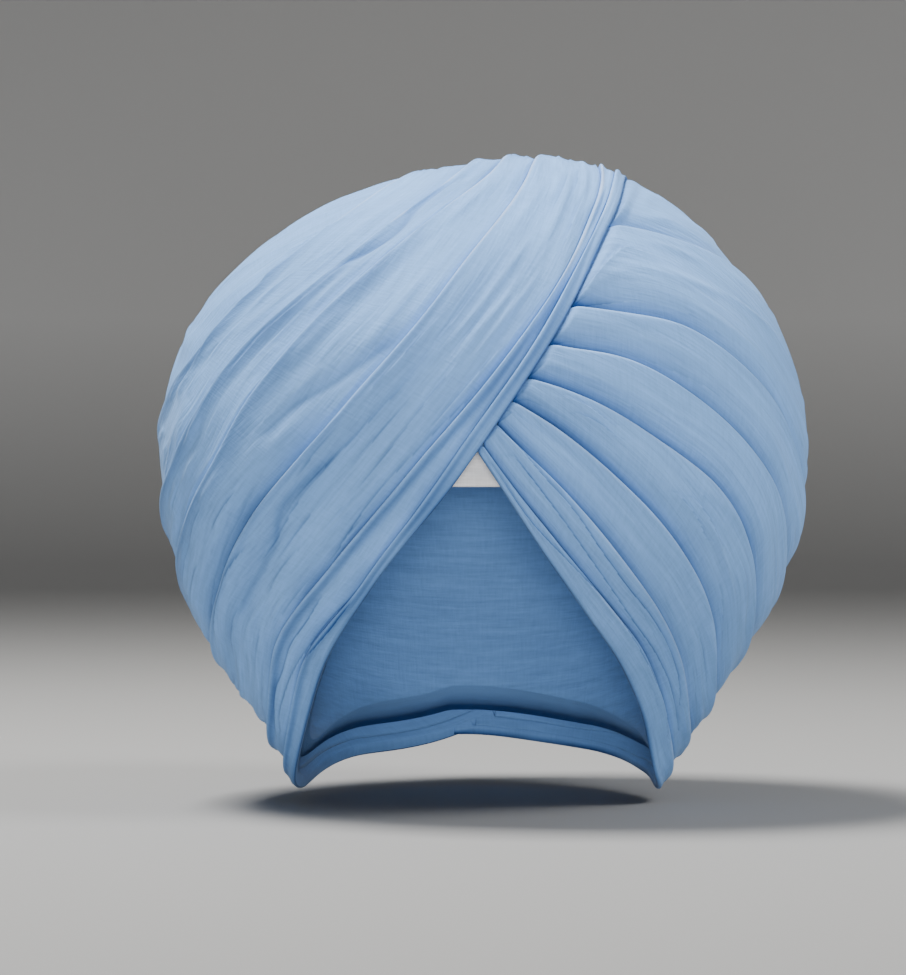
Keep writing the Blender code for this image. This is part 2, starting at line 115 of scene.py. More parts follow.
# Left family. Each row is a fold line: its angle in degrees from the family's axis, at bearings
# counted from the left cheek over the front (90) to the top right (180), and negative at the back.
LEFT_BEARINGS = (-150, -120, -90, -60, -30, 0, 30, 60, 90, 120, 150, 180)
LEFT_FOLDS = {
    # top rear, high back, back, nape, left rear, cheek, low front, mid front, forehead, diagonal,
    # high, top
    "edge": (94, 103, 113, 117, 93, 87, 79, 80, 85.5, 88.5, 88, 87),
    "first_crease": (91.7, 100.3, 109.8, 113, 90, 84, 75, 78, 82.8, 86.2, 86, 84.8),
    "bundle": (88.7, 96.5, 104.5, 107, 85.5, 79, 68.5, 71, 78.5, 84, 84.5, 82),
    "broad": (79, 86, 92, 93, 73, 62, 53.5, 54, 61.5, 68, 71.5, 72),
    "middle": (71.5, 76, 79, 77, 59, 48, 41.5, 41, 44.5, 53.5, 63.5, 67),
    "upper": (63.5, 65.5, 65, 59.5, 45, 35.5, 31, 31, 34.5, 46, 57.5, 61),
    "rear": (50.5, 48, 42.5, 34, 24.5, 18.5, 16.5, 18, 23, 31.5, 44, 50),
}
LEFT_AXIS_TILT = 61.5

# Right family: height angles in degrees, at turns from the front round to the back.
RIGHT_TURNS = (-10, 0, 15, 30, 45, 60, 75, 90, 120, 150, 180, 200)
RIGHT_FOLDS = {
    # hidden, front, then every 15 degrees to the side, rear quarter, rear, back, past the back
    "edge": (20, 5, -16, -31.5, -42, -50.5, -57.5, -59.5, -56.5, -50.5, -46.5, -47.5),
    "pleat": (23, 7.5, -10.5, -24.5, -35, -44.5, -52, -56, -54.5, -49, -45, -46),
    "fifth": (28, 14, -0.5, -14.5, -26, -36.5, -46.5, -51, -51.5, -47, -43.3, -44),
    "fourth": (27, 18.5, 9, -2, -14, -25.5, -38, -44, -47, -44.5, -41, -41.5),
    "third": (25, 21.5, 17, 10, 1, -11, -24, -33, -39, -39.5, -37.5, -38),
    "second": (28, 27, 25, 21, 13.5, 2.5, -10, -20, -29, -32.5, -33, -34),
    "first": (28, 30, 32, 30.5, 27, 17.5, 3.5, -7, -17, -23, -26, -28),
    "crown": (46, 48, 50, 50, 48, 44, 38.5, 32, 20, 8, -2, -8),
}

# Each lap: its outer and inner fold, its crest as a share of the lap crest, the radius of its
# nose in millimetres, how many points its upper side has across, and how far from its nose it
# starts to rise where it is flush, in millimetres. Right laps all take USUAL_LIP for the last.
LEFT_LAPS = (
    # name, outer, inner, crest, nose, across, lip
    ("front_pleat_1", "edge", "first_crease", 0.98, 0.9, 30, 3.0),
    ("front_pleat_2", "first_crease", "bundle", 0.96, 1.0, 36, 5.0),
    ("left_lap_1", "bundle", "broad", 0.96, 1.3, 66, 19.0),
    ("left_lap_2", "broad", "middle", 0.88, 1.3, 66, 10.0),
    ("left_lap_3", "middle", "upper", 0.78, 1.2, 58, 8.0),
    ("left_lap_4", "upper", "rear", 0.68, 1.2, 58, 8.0),
)
RIGHT_LAPS = (
    # name, lower, upper, crest, nose, across
    ("fan_pleat_1", "edge", "pleat", 0.74, 0.9, 34),
    ("fan_pleat_2", "pleat", "fifth", 0.84, 1.1, 46),
    ("right_lap_1", "fifth", "fourth", 0.92, 1.6, 54),
    ("right_lap_2", "fourth", "third", 0.95, 1.8, 54),
    ("right_lap_3", "third", "second", 0.95, 1.8, 54),
    ("right_lap_4", "second", "first", 0.92, 1.8, 54),
    ("right_lap_5", "first", "crown", 0.84, 1.8, 66),
    ("right_crown_lap", "crown", None, 0.74, 1.6, 66),
)

# How deep the crevice is above each fold, from 0, flush, to 1, deep, at the family's stations.
CREVICES = {
    "edge": (0.3,) * 12,
    "first_crease": (0.1, 0.2, 0.3, 0.3, 0.3, 0.2, 0.1, 0.1, 0.1, 0.1, 0.0, 0.0),
    "bundle": (0.0, 0.3, 0.4, 0.5, 0.5, 0.4, 0.3, 0.35, 0.35, 0.2, 0.0, 0.0),
    "broad": (0.1, 0.3, 0.5, 0.6, 0.7, 0.9, 1.0, 0.9, 0.3, 0.05, 0.1, 0.1),
    "middle": (0.1, 0.3, 0.5, 0.6, 0.5, 0.4, 0.2, 0.05, 0.0, 0.0, 0.1, 0.1),
    "upper": (0.2, 0.4, 0.5, 0.6, 0.5, 0.3, 0.1, 0.0, 0.05, 0.15, 0.2, 0.2),
    "rear": (0.3, 0.3, 0.4, 0.4, 0.4, 0.4, 0.3, 0.2, 0.2, 0.2, 0.3, 0.3),
    "pleat": (0.3, 0.4, 0.5, 0.4, 0.3, 0.3, 0.3, 0.3, 0.4, 0.5, 0.6, 0.6),
    "fifth": (0.6, 0.7, 0.6, 0.5, 0.45, 0.4, 0.4, 0.4, 0.5, 0.5, 0.6, 0.6),
    "fourth": (0.8, 0.9, 1.0, 1.0, 0.8, 0.7, 0.6, 0.6, 0.5, 0.5, 0.6, 0.6),
    "third": (0.8, 0.9, 1.0, 1.0, 0.9, 0.9, 0.8, 0.7, 0.6, 0.6, 0.6, 0.6),
    "second": (0.8, 0.9, 1.0, 1.0, 1.0, 0.9, 0.9, 0.8, 0.6, 0.5, 0.6, 0.6),
    "first": (0.8, 0.9, 1.0, 1.0, 1.0, 1.0, 0.9, 0.8, 0.5, 0.5, 0.6, 0.6),
    "crown": (0.3, 0.3, 0.3, 0.3, 0.3, 0.3, 0.3, 0.4, 0.5, 0.5, 0.5, 0.5),
}

# Small folds that run along each lap for a short way: how many, how high and how wide at the most
# in millimetres, and the share of the length on which they show.
RUNNING_FOLDS = {
    # name: (count, height, width, presence)
    "front_pleat_1": (1, 0.35, 1.3, 0.5),
    "front_pleat_2": (2, 0.4, 1.5, 0.4),
    "left_lap_1": (11, 1.15, 2.8, 0.3),
    "left_lap_2": (8, 0.95, 2.8, 0.22),
    "left_lap_3": (6, 0.9, 2.6, 0.28),
    "left_lap_4": (6, 0.8, 2.8, 0.3),
    "fan_pleat_1": (2, 0.4, 1.6, 0.4),
    "fan_pleat_2": (3, 0.5, 1.8, 0.4),
    "right_lap_1": (5, 0.65, 2.2, 0.2),
    "right_lap_2": (5, 0.65, 2.4, 0.2),
    "right_lap_3": (5, 0.65, 2.4, 0.2),
    "right_lap_4": (5, 0.65, 2.4, 0.2),
    "right_lap_5": (8, 0.9, 3.0, 0.28),
    "right_crown_lap": (7, 0.8, 4.0, 0.3),
}

# Single folds seen from the front, as points of the 906 by 975 picture. A fold is a step, high on
# one side, and a valley is even on both sides. Height and width in millimetres.
SEEN_FOLDS = (
    # family, kind, height, width, points
    ("left", "fold", 1.3, 4.0, (
        (275, 738), (274, 715), (276, 689), (282, 671), (289, 647), (305, 623), (319, 600))),
    ("left", "fold", 1.2, 3.0, (
        (279, 734), (279, 715), (283, 697), (292, 673), (308, 647), (327, 622), (349, 600))),
    ("left", "fold", 1.3, 3.0, ((306, 657), (327, 634), (350, 604))),
    ("left", "valley", 1.0, 3.5, ((260, 436), (296, 400), (329, 381), (363, 358), (391, 338))),
    ("left", "valley", 1.0, 3.0, (
        (239, 611), (249, 588), (261, 569), (271, 551), (284, 503), (309, 476), (329, 457))),
    ("left", "valley", 1.6, 3.0, ((339, 264), (391, 231), (413, 205), (441, 185), (461, 174))),
    ("left", "fold", 1.0, 5.0, (
        (172, 391), (188, 365), (207, 336), (227, 310), (257, 283), (296, 240), (331, 222),
        (365, 205))),
    ("right", "fold", 1.5, 3.0, (
        (514, 456), (557, 512), (596, 566), (631, 617), (660, 660), (672, 688), (677, 711),
        (680, 732))),
    ("right", "fold", 1.4, 3.0, (
        (492, 464), (524, 512), (570, 563), (609, 604), (637, 645), (654, 678), (665, 706),
        (668, 739))),
    ("right", "fold", 1.7, 5.0, (
        (494, 424), (516, 444), (542, 475), (565, 500), (603, 553), (626, 584), (652, 617),
        (670, 650), (679, 681), (681, 706))),
    ("right", "valley", 1.2, 5.0, ((626, 217), (704, 237), (738, 259))),
    ("right", "fold", 1.1, 2.0, ((566, 398), (588, 408), (612, 426))),
    ("right", "fold", 1.1, 2.0, ((578, 414), (598, 424), (618, 440))),
    ("right", "fold", 1.0, 2.0, ((676, 492), (694, 515), (706, 540))),
    ("right", "fold", 1.1, 2.2, ((692, 496), (708, 518), (720, 545))),
    ("left", "fold", 0.7, 3.0, ((250, 300), (300, 262), (345, 238))),
    ("left", "fold", 0.7, 3.0, ((225, 372), (262, 330), (300, 300))),
    ("left", "fold", 0.8, 4.0, ((330, 560), (370, 500), (420, 446), (470, 396))),
    ("left", "fold", 0.7, 3.5, ((262, 560), (300, 500), (352, 440), (410, 380))),
)

# The camera, and the picture whose angle it takes
CAMERA_PLACE = (-0.0108, -1.5, -0.0002)
PICTURE_WIDE = 906
PICTURE_HIGH = 975
METRES_A_PIXEL = 0.0004
SENSOR = 36.0

# Where a lap's upper side starts at its tail, as a share of its crest, flush or deep
FLUSH_START = 0.54
DEEP_START = 0.16
# How far its foot lies under that, flush and over the top, or how high it is when deep, and the
# radius that its foot has, flush or deep, in millimetres
FLUSH_STEP = 1.4
TOP_STEP_LESS = 0.8
DEEP_FOOT = 0.9
FLUSH_ROUND = 0.45
DEEP_ROUND = 0.8
# Laps of the left family lie flatter over the top of the turban, round this bearing in degrees
TOP_BEARING = 152.0
TOP_REACH = 26.0
TOP_START = 0.90
TOP_FLATTER = 0.14
# Lengths across a lap: a deep one's swell, a flush one's lip in millimetres, and a covered one's
# dive under the left family's edge
ROLL_LENGTH = 0.0180
USUAL_LIP = 7.5
BROAD_LIP = 15.0
DIVE_LENGTH = 0.0055
# Heights of the first laps beside the left edge and beside the rim: their foot, and their top from
# which they rise to the crest, from LATE_START of their width on
EDGE_FOOT = EDGE_VALLEY_HEIGHT + 0.2 * MM
EDGE_TOP = EDGE_FOOT + 1.2 * MM
EDGE_ROUND = 0.8 * MM
RIM_FOOT = 1.6 * MM
RIM_TOP = RIM_FOOT + 2.0 * MM
RIM_ROUND = 1.2 * MM
LATE_START = 0.35
UNDER_EDGE = EDGE_VALLEY_HEIGHT - 0.3 * MM
# A lap's lower side: the most of a span that a tuck takes, a tail's place as a share of its tuck,
# how far covered ends run on, how far in it starts at an edge or rim, and its points on the bed
TUCK_SHARE = 0.4
TAIL_CLEAR = 0.02
COVERED_REACH = 0.0012
HEM_REACH = 0.0009
BED_POINTS = 7
# Widths under which a covered lap's crest and any lap's small folds get lower
COVERED_ROOM = 14.0 * MM
RELIEF_ROOM = 7.0 * MM
# Moves the noise of each lap to another place on the cloth
LAY_SHIFT = 0.37

# Sections: round the left family, in degrees along the right laps, and halvings for a surface
LEFT_STATIONS = 520
RIGHT_STEP = 0.5
# Points across a lap near its tail and before its nose, in millimetres
TAIL_PLACES = (0.0, 0.10, 0.25, 0.45, 0.70, 1.0)
NOSE_PLACES = (2.0, 1.5, 1.05, 0.7, 0.42, 0.2, 0.06, 0.0)
HALVINGS = 26
FARTHEST = 0.25
SMALLEST = 1e-6
WELD_DISTANCE = 2e-6

# Bearings with sample counts at which the left edge line is read, for each side of the head, and
# turns at which right lines are. Up to BACK_CROSSING the right edge alone is the wrap's lowest.
RIGHT_SIDE_BEARINGS = ((80.0, 180.0, 600), (-180.0, -36.0, 800))
LEFT_SIDE_BEARINGS = ((-56.0, 98.0, 800),)
RIGHT_SPAN = (-6.0, 196.0, 4041)
BACK_CROSSING = 170.0
ZENITH = 90.0

# Where the picture's points are looked for: distances from the camera, and how high over the form,
# as a share of the lap crest. Single folds fade over SEEN_FADE degrees at their ends.
SEEN_WAYS = (1.36, 1.54, 361)
SEEN_CREST = 0.8
SEEN_FADE = 7.0

# How much the cloth's angles shrink along each family, so that noise keeps its size
LEFT_ROUND = 0.95
RIGHT_ROUND = 0.8
BAND_ROUND = 0.7

# Painted shade and a painted highlight on the noses: strengths, and places and reaches in
# millimetres, for each family where it differs
CREVICE_REACH = {"left": 4.8, "right": 3.8}
FOOT_SHADE, FOOT_REACH = 0.6, 0.6
LIP_SHADE, BROAD_LIP_SHADE = 0.28, 0.20
NOSE_SHADE, NOSE_PLACE, NOSE_REACH = 0.22, 2.4, 1.3
CONTACT_SHADE, CONTACT_REACH = 0.55, 1.4
# The painted highlight along each lap's nose: its strength for each family, its place and reach
NOSE_HIGHLIGHT = {"left": 0.17, "right": 0.10}
HIGHLIGHT_PLACE, HIGHLIGHT_REACH = 0.5, 0.8
FOLD_SHADE, FOLD_REACH = 0.42, 0.9
VALLEY_SHADE, VALLEY_REACH = 0.25, 1.6
# Painted shade on the hidden sides and on the inside, and what the pieces' records say
HIDDEN_TONE = 0.65
INNER_TONE = 0.75
BLUE_SLOT = "blue_voile"
WHITE_SLOT = "white_band"


def smooth_row(at, stations, values):
    # A smooth curve through a row of a table, read at the given places.
    stations = np.asarray(stations, float)
    values = np.asarray(values, float)
    slopes = np.gradient(values, stations)
    at = np.clip(np.asarray(at, float), stations[0], stations[-1])
    index = np.clip(np.searchsorted(stations, at, side="right") - 1, 0, len(stations) - 2)
    span = stations[index + 1] - stations[index]
    part = (at - stations[index]) / span
    square = part * part
    cube = square * part
    start = (2 * cube - 3 * square + 1) * values[index]
    start_slope = (cube - 2 * square + part) * span * slopes[index]
    end = (3 * square - 2 * cube) * values[index + 1]
    end_slope = (cube - square) * span * slopes[index + 1]
    return start + start_slope + end + end_slope


def smooth_step(share):
    # Eases from 0 to 1, level at both ends.
    return share * share * (3.0 - 2.0 * share)


def inside(points, form):
    # Whether points lie in a form: an ellipse at each height, which shrinks to nothing above the
    # form's level, and by its table's rows below.
    level, rise, rows, drop, sizes, shift = form
    heights = points[..., 2]
    above = np.sqrt(np.clip(1.0 - ((heights - level) / rise) ** 2, 0.0, 1.0))
    rows = np.array(rows)
    shares = []
    for column in (1, 2, 3):
        below = smooth_row((level - heights) / drop, rows[:, 0], rows[:, column])
        shares.append(np.where(heights > level, above, below) * sizes[column - 1])
    width, front, back = shares
    share = np.clip((heights - level) / rise, 0.0, 1.0)
    across = (points[..., 0] - shift * share ** 4) / np.maximum(width, SMALLEST)
    along = points[..., 1] / np.maximum(np.where(points[..., 1] < 0, front, back), SMALLEST)
    return (across ** 2 + along ** 2 < 1.0) & (share < 1.0)


def reach(directions, form):
    # Distance from the centre to the surface of a form, found by halving.
    near = np.zeros(directions.shape[:-1])
    far = np.full(directions.shape[:-1], FARTHEST)
    for _ in range(HALVINGS):
        middle = (near + far) / 2
        hit = inside(directions * middle[..., None], form)
        near = np.where(hit, middle, near)
        far = np.where(hit, far, middle)
    return near


def place(directions, heights):
    return directions * (reach(directions, FORM) + heights)[..., None]


def as_angle(length):
    return math.degrees(length / HALF_WIDTH)


def as_length(angle):
    return np.radians(angle) * HALF_WIDTH


TILT = math.radians(LEFT_AXIS_TILT)
LEFT_AXIS = np.array((-math.sin(TILT), 0.0, math.cos(TILT)))
LEFT_LOW = np.array((-math.cos(TILT), 0.0, -math.sin(TILT)))
FRONT = np.array((0.0, -1.0, 0.0))


def left_direction(bearing, angle):
    turn = np.radians(bearing)[..., None]
    lean = np.radians(angle)[..., None]
    round_axis = np.cos(turn) * LEFT_LOW + np.sin(turn) * FRONT
    return np.cos(lean) * LEFT_AXIS + np.sin(lean) * round_axis


def right_direction(turn, height):
    turn = np.radians(turn)
    height = np.radians(height)
    flat = np.cos(height)
    return np.stack((flat * np.sin(turn), -flat * np.cos(turn), np.sin(height)), axis=-1)


def turn_and_height(directions):
    turn = np.degrees(np.arctan2(directions[..., 0], -directions[..., 1]))
    height = np.degrees(np.arcsin(np.clip(directions[..., 2], -1.0, 1.0)))
    return turn, height


def bearing_and_angle(directions):
    angle = np.degrees(np.arccos(np.clip(directions @ LEFT_AXIS, -1.0, 1.0)))
    bearing = np.degrees(np.arctan2(directions @ FRONT, directions @ LEFT_LOW))
    return bearing, angle


def wave(degrees, seed, lowest, highest):
    # A smooth random curve that repeats after a full turn, about one unit high.
    rng = np.random.default_rng(seed)
    total = np.zeros_like(np.asarray(degrees, float))
    power = 0.0
    for count in range(lowest, highest + 1):
        size = rng.normal() / math.sqrt(count)
        total += size * np.cos(np.radians(degrees) * count + rng.uniform(0.0, 2.0 * math.pi))
        power += size * size / 2
    return total / math.sqrt(power)


def one_turn(bearings):
    # The same bearings, brought between -180 and 180 degrees.
    return (np.asarray(bearings, float) + 180.0) % 360.0 - 180.0


def left_fold(name, bearings):
    # A fold line of the left family, which closes on itself after a full turn.
    stations = np.array(LEFT_BEARINGS, float)
    values = np.array(LEFT_FOLDS[name])
    padded = np.concatenate((stations[-2:] - 360.0, stations, stations[:2] + 360.0))
    around = np.concatenate((values[-2:], values, values[:2]))
    return smooth_row(one_turn(bearings), padded, around)


def left_line(name, bearings):
    # A fold line with the small wander that a hand-laid fold has.
    seed = 20 + list(LEFT_FOLDS).index(name)
    size = {"edge": 0.04, "first_crease": 0.06, "bundle": 0.12}.get(name, 0.22)
    return left_fold(name, bearings) + size * wave(bearings, seed, 4, 12)


def edge_height_at(turns, left_side=False):
    # Height angle of the left family's edge line at each turn, over the right side to just past
    # the back, or on the left side, where turns are negative.
    parts = LEFT_SIDE_BEARINGS if left_side else RIGHT_SIDE_BEARINGS
    bearings = np.concatenate([np.linspace(*part) for part in parts])
    line = left_direction(bearings, left_line("edge", bearings))
    turn, height = turn_and_height(line)
    side = -1.0 if left_side else 1.0
    turn = np.where(side * turn < -90.0, turn + side * 360.0, turn)
    order = np.argsort(turn)
    return np.interp(turns, turn[order], height[order])


def right_line(name, turns):
    # A fold line of the right family, with its wander.
    seed = 40 + list(RIGHT_FOLDS).index(name)
    size = {"edge": 0.04, "pleat": 0.08, "fifth": 0.15}.get(name, 0.22)
    row = smooth_row(turns, RIGHT_TURNS, RIGHT_FOLDS[name])
    return row + size * wave(turns, seed, 5, 16)


def seen_directions(points):
    # Where the form shows at points of the front picture.
    points = np.array(points, float)
    camera = np.array(CAMERA_PLACE)
    aim = np.zeros((len(points), 3))
    aim[:, 0] = camera[0] + (points[:, 0] - PICTURE_WIDE / 2) * METRES_A_PIXEL
    aim[:, 2] = camera[2] - (points[:, 1] - PICTURE_HIGH / 2) * METRES_A_PIXEL
    ray = aim - camera
    ray /= np.linalg.norm(ray, axis=1)[:, None]
    ways = np.linspace(*SEEN_WAYS)
    places = camera + ray[:, None, :] * ways[None, :, None]
    size = np.linalg.norm(places, axis=-1)
    directions = places / size[..., None]
    beyond = size - reach(directions, FORM) - SEEN_CREST * LAP_CREST
    hit = beyond < 0.0
    first = np.where(hit.any(axis=1), hit.argmax(axis=1), beyond.argmin(axis=1))
    return directions[np.arange(len(points)), first]


def fold_shape(kind, distance, height, width):
    # Height of a small fold at a distance from its line, positive on the side of the lap's tail.
    if kind == "fold":
        crisp = 0.5 + 0.5 * np.tanh(distance / (0.35 * MM))
        return height * crisp * np.exp(-np.maximum(distance, 0.0) / (width * MM))
    bump = height * np.exp(-(distance / (width * MM)) ** 2)
    return -bump if kind == "valley" else bump


def fold_shade(kind, distance, height):
    # How deep the colour is beside a small fold, on the low side of its step.
    if kind == "fold":
        low_side = np.exp(-np.maximum(-distance, 0.0) / (FOLD_REACH * MM))
        return FOLD_SHADE * height * low_side * (distance < 0.2 * MM)
    if kind == "valley":
        return VALLEY_SHADE * height * np.exp(-(distance / (VALLEY_REACH * MM)) ** 2)
    return np.zeros_like(distance)


def seen_relief(family, stations, angles):
    # All the single folds of a family, added up over a grid of angles: their heights and shades.
    total = np.zeros_like(angles)
    shade = np.zeros_like(angles)
    for owner, kind, height, width, points in SEEN_FOLDS:
        if owner != family:
            continue
        convert = bearing_and_angle if family == "left" else turn_and_height
        place_along, line = convert(seen_directions(points))
        order = np.argsort(place_along)
        place_along = place_along[order]
        here = smooth_row(stations, place_along, line[order])
        before = (stations - place_along[0]) / SEEN_FADE
        after = (place_along[-1] - stations) / SEEN_FADE
        shown = smooth_step(np.clip(0.5 + np.minimum(before, after), 0.0, 1.0))
        way = 1.0 if family == "left" else -1.0
        distance = as_length((angles - here[:, None]) * way)
        total += shown[:, None] * MM * fold_shape(kind, distance, height, width)
        shade += shown[:, None] * fold_shade(kind, distance, height)
    return total, shade


def running_relief(name, stations, across, span, seed):
    # Small folds along a lap, each showing here and there.
    count, height, width, presence = RUNNING_FOLDS[name]
    rng = np.random.default_rng(seed)
    total = np.zeros_like(across)
    shade = np.zeros_like(across)
    for number in range(count):
        spot = (number + 0.5 + rng.uniform(-0.3, 0.3)) / count
        drift = 0.30 / count * wave(stations, seed + 7 * number + 1, 2, 8)
        shown = np.clip(presence + 0.55 * wave(stations, seed + 7 * number + 3, 4, 18), 0.0, 1.0)
        wide = width * rng.uniform(0.55, 1.0)
        distance = ((spot + drift)[:, None] - across) * as_length(span)[:, None]
        kind = "fold" if number % 2 else "ridge"
        size = height * rng.uniform(0.6, 1.0)
        total += shown[:, None] * MM * fold_shape(kind, distance, size, wide)
        shade += shown[:, None] * fold_shade(kind, distance, size)
    return total, shade


def broad_relief(stations, across, seed):
    # Slow swelling of the wound cloth along and across a lap.
    along = wave(stations, seed, 4, 13)[:, None]
    other = wave(stations, seed + 1, 3, 11)[:, None]
    swell = along * np.sin(math.pi * across) + other * np.sin(2.0 * math.pi * across)
    return 0.22 * MM * swell


def across_places(count, span):
    # Distances across a lap from its tail, close together at the tail and at the nose.
    length = as_length(span)[:, None]
    fine = MM * np.minimum(1.0, length / (8.0 * MM))
    start = fine * np.array(TAIL_PLACES)
    stop = length - fine * np.array(NOSE_PLACES)
    inner = np.linspace(0.0, 1.0, count - len(TAIL_PLACES) - len(NOSE_PLACES) + 2)[1:-1]
    middle = start[:, -1:] + (stop[:, :1] - start[:, -1:]) * inner
    return np.concatenate((start, middle, stop), axis=1)


def quarter_round(distance, radius):
    # Rises from 0 to 1 over a radius, upright at its foot and level at its top.
    return np.sqrt(1.0 - (1.0 - np.clip(distance / radius, 0.0, 1.0)) ** 2)


def lap_height(distance, span, crest, depth, tail_kind, ease=0.0, lip_length=USUAL_LIP):
    # Upper side of a lap. A flush tail starts a little under the crest and climbs mostly in its lip
    # before the nose; a deep one starts low in the crevice and swells like a roll.
    length = as_length(span)[:, None]
    share = distance / length
    late = smooth_step(np.clip((share - LATE_START) / (1.0 - LATE_START), 0.0, 1.0))
    if tail_kind == "edge":
        foot_rise = (EDGE_TOP - EDGE_FOOT) * quarter_round(distance, EDGE_ROUND)
        return EDGE_FOOT + foot_rise + (crest - EDGE_TOP) * late
    if tail_kind == "rim":
        foot_rise = (RIM_TOP - RIM_FOOT) * quarter_round(distance, RIM_ROUND)
        return RIM_FOOT + foot_rise + (crest - RIM_TOP) * late
    flush_start = FLUSH_START + (TOP_START - FLUSH_START) * ease
    start = crest * (flush_start - (flush_start - DEEP_START) * depth)
    step = (FLUSH_STEP - TOP_STEP_LESS * ease) * MM
    low = DEEP_FOOT * MM * depth + (start - step) * (1.0 - depth)
    foot_round = MM * (DEEP_ROUND * depth + FLUSH_ROUND * (1.0 - depth))
    roll = np.clip(distance / np.minimum(ROLL_LENGTH, 0.7 * length), 0.0, 1.0)
    early = 1.0 - (1.0 - roll) ** 2.0
    to_nose = np.clip((length - distance) / np.minimum(lip_length * MM, 0.6 * length), 0.0, 1.0)
    flush = 0.25 * share + 0.75 * smooth_step(1.0 - to_nose)
    climb = depth * early + (1.0 - depth) * flush
    return low + (start - low) * quarter_round(distance, foot_round) + (crest - start) * climb


def round_lay(degrees, share, across):
    # Places on the cloth that join up after a full turn: round a circle, and across it.
    radius = HALF_WIDTH * share
    turn = np.radians(degrees)
    return np.stack((radius * np.cos(turn), radius * np.sin(turn), across), axis=-1)


def add_object(name, data):
    item = bpy.data.objects.new(name, data)
    bpy.context.scene.collection.objects.link(item)
    return item


def grid_mesh(name, points, lay, tone, ring, loop, material, weld=False):
    # A mesh from sections of points. ring joins the last section to the first, and loop joins the
    # last point of a section to its first.
    count, around = points.shape[:2]
    rows = np.arange(count if ring else count - 1)
    sides = np.arange(around if loop else around - 1)
    row, side = [item.ravel() for item in np.meshgrid(rows, sides, indexing="ij")]
    next_side = (side + 1) % around
    here = row * around
    there = (row + 1) % count * around
    quads = np.stack((here + side, here + next_side, there + next_side, there + side), axis=1)
    mesh = bpy.data.meshes.new(name)
    mesh.vertices.add(count * around)
    mesh.vertices.foreach_set("co", points.reshape(-1))
    mesh.loops.add(quads.size)
    mesh.loops.foreach_set("vertex_index", quads.reshape(-1).astype(np.int32))
    mesh.polygons.add(len(quads))
    mesh.polygons.foreach_set("loop_start", np.arange(0, quads.size, 4, dtype=np.int32))
    mesh.update(calc_edges=True)
    kinds = (("lay", "FLOAT_VECTOR", "vector", lay), ("tone", "FLOAT", "value", tone))
    for key, kind, field, values in kinds:
        attribute = mesh.attributes.new(key, kind, "POINT")
        attribute.data.foreach_set(field, values.reshape(-1).astype(np.float32))
    build = bmesh.new()
    build.from_mesh(mesh)
    if weld:
        bmesh.ops.remove_doubles(build, verts=build.verts, dist=WELD_DISTANCE)
    if not ring:
        edges = [edge for edge in build.edges if edge.is_boundary]
        bmesh.ops.holes_fill(build, edges=edges, sides=0)
    bmesh.ops.recalc_face_normals(build, faces=build.faces)
    build.to_mesh(mesh)
    build.free()
    mesh.shade_smooth()
    mesh.materials.append(material)
    return add_object(name, mesh)


def dress(item, node):
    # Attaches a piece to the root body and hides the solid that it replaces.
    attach(item, "root")
    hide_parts(node)


def crevice_depth(family, outer, stations, seed):
    # How deep the crevice is at a lap's tail, from 0 to 1, at each section.
    row = CREVICES[outer]
    if family == "left":
        depth = smooth_row(one_turn(stations), (-180.0,) + LEFT_BEARINGS, row[-1:] + row)
    else:
        depth = smooth_row(stations, RIGHT_TURNS, row)
    depth = depth + 0.08 * wave(stations, seed + 70, 6, 20)
    return np.clip(depth, 0.0, 1.0)[:, None]


def hidden_side(tails, span, way, ahead, covered, tail_kind):
    # The lap's lower side, under the nose, along the bed and up to the tail: angles and heights.
    level = np.zeros(len(tails))
    tuck = np.minimum(as_angle(TUCK_LENGTH), TUCK_SHARE * span)
    tail_tuck = np.minimum(as_angle(TUCK_LENGTH), TUCK_SHARE * ahead)
    finish = np.where(covered, span + as_angle(COVERED_REACH), span - tuck)
    first = np.where(covered, span + as_angle(0.5 * COVERED_REACH), span)
    hidden = [(first, np.where(covered, 0.5 * UNDER_EDGE, VALLEY_HEIGHT))]
    if tail_kind == "tail":
        start = -(1.0 + TAIL_CLEAR) * tail_tuck
    else:
        start = np.minimum(as_angle(HEM_REACH), 0.3 * span)
    for share in np.linspace(0.0, 1.0, BED_POINTS):
        hidden.append((finish + (start - finish) * share, level))
    if tail_kind == "tail":
        hidden.append((-TAIL_CLEAR * tail_tuck, level + VALLEY_HEIGHT))
    if tail_kind == "edge":
        hidden.append((level, level + EDGE_VALLEY_HEIGHT))
    angles = np.stack([tails + way * step for step, _ in hidden], axis=1)
    return angles, np.stack([rise for _, rise in hidden], axis=1)


def lap_tone(family, distance, ahead_way, depth, ease, lip, low_side, ahead_edge):
    # Painted tone of a lap's upper side, 1 where the cloth has its own colour: painted shade in
    # the crevice, before a flush lip, beside folds and along the left edge, and a painted
    # highlight on the nose.
    def near(spot, reach_over):
        return np.exp(-((ahead_way - spot * MM) / (reach_over * MM)) ** 2)

    shade = depth * np.exp(-distance / (CREVICE_REACH[family] * MM))
    shade = shade + FOOT_SHADE * np.exp(-distance / (FOOT_REACH * MM))
    if family == "left":
        before_lip = BROAD_LIP_SHADE if lip > BROAD_LIP else LIP_SHADE
        shade = shade + before_lip * (1.0 - ease) * near(0.5 * lip, 0.38 * lip)
        shade = shade + NOSE_SHADE * (1.0 - ease) * near(NOSE_PLACE, NOSE_REACH)
    shade = shade + low_side
    if ahead_edge is not None:
        contact = np.exp(-np.maximum(ahead_edge, 0.0) / (CONTACT_REACH * MM))
        shade = shade + CONTACT_SHADE * contact
    highlight = NOSE_HIGHLIGHT[family] * near(HIGHLIGHT_PLACE, HIGHLIGHT_REACH)
    return np.clip(1.0 - shade, 0.0, 1.0), highlight


